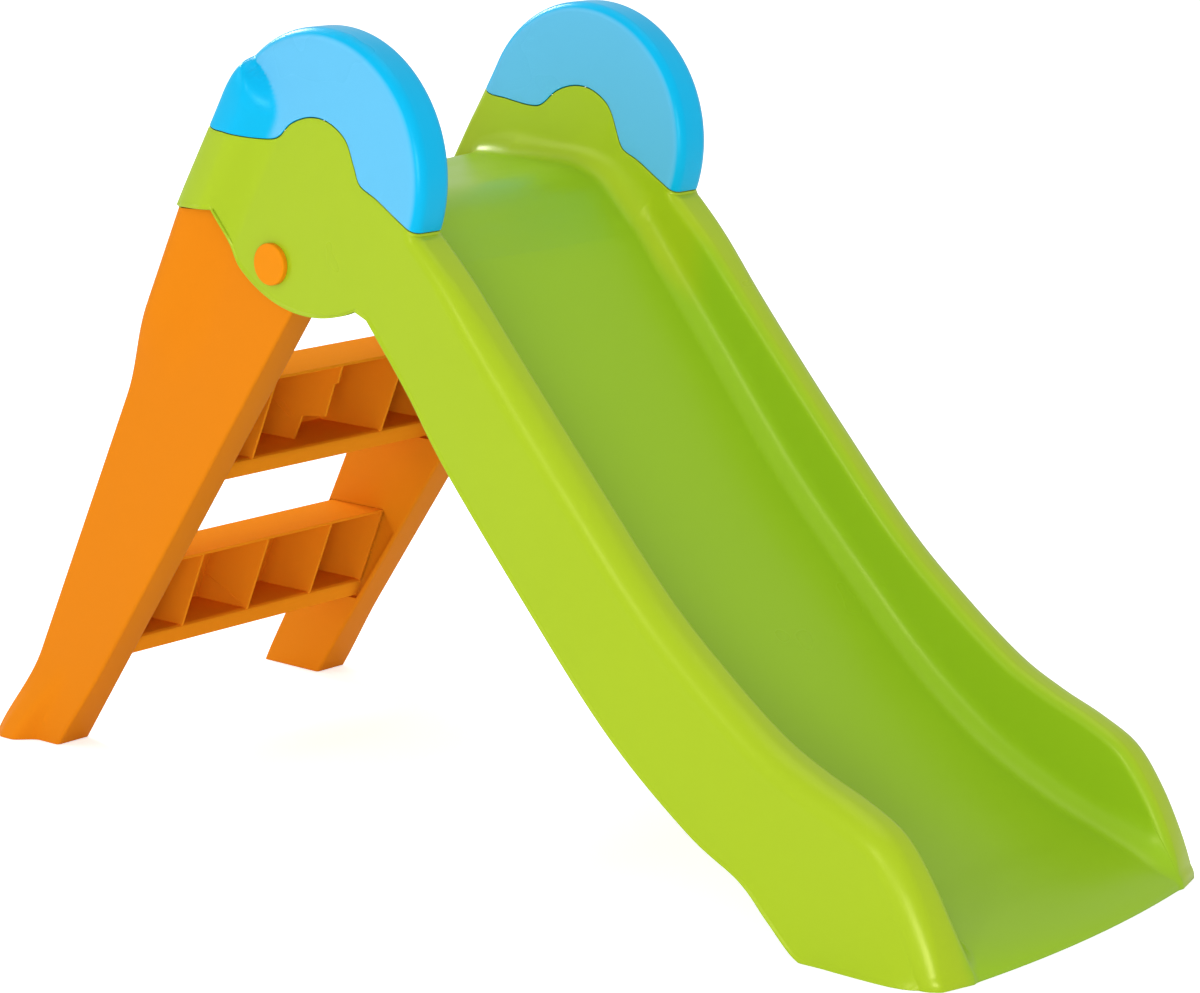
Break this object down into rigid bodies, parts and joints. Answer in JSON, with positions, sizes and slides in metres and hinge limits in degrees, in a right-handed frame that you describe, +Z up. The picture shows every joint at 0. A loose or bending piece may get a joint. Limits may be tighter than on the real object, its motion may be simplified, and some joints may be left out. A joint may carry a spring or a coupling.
{
  "type": "folding toddler slide",
  "caption": "Low toddler slide: green moulded chute with tall rounded ears, blue hand caps and an orange folding ladder with ribbed steps.",
  "frame": {"origin": "on the floor, under the middle of the open slide's bounding box", "axes": "+X towards the foot of the chute, +Y to the left of a child facing +X, +Z up"},
  "size_m": [1.3001, 0.498, 0.8199],
  "materials": {
    "green_plastic": "moulded, light gloss",
    "blue_plastic": "moulded, light gloss",
    "orange_plastic": "moulded, satin",
    "pin_plastic": "moulded, satin"
  },
  "bodies": {
    "slide": {"slide_body": "green_plastic", "hand_cap_left": "blue_plastic", "hand_cap_right": "blue_plastic", "pivot_pin_left": "pin_plastic", "pivot_pin_right": "pin_plastic", "pivot_clip_left": "pin_plastic", "pivot_clip_right": "pin_plastic"},
    "ladder": {"ladder_leg_left": "orange_plastic", "ladder_leg_right": "orange_plastic", "step_upper": "orange_plastic", "step_lower": "orange_plastic"}
  },
  "joints": [
    {"name": "ladder_fold", "type": "hinge", "parent": "slide", "child": "ladder", "pos_m": [-0.21, 0, 0.577], "axis": [0, -1, 0], "range_deg": [0, 76]}
  ]
}
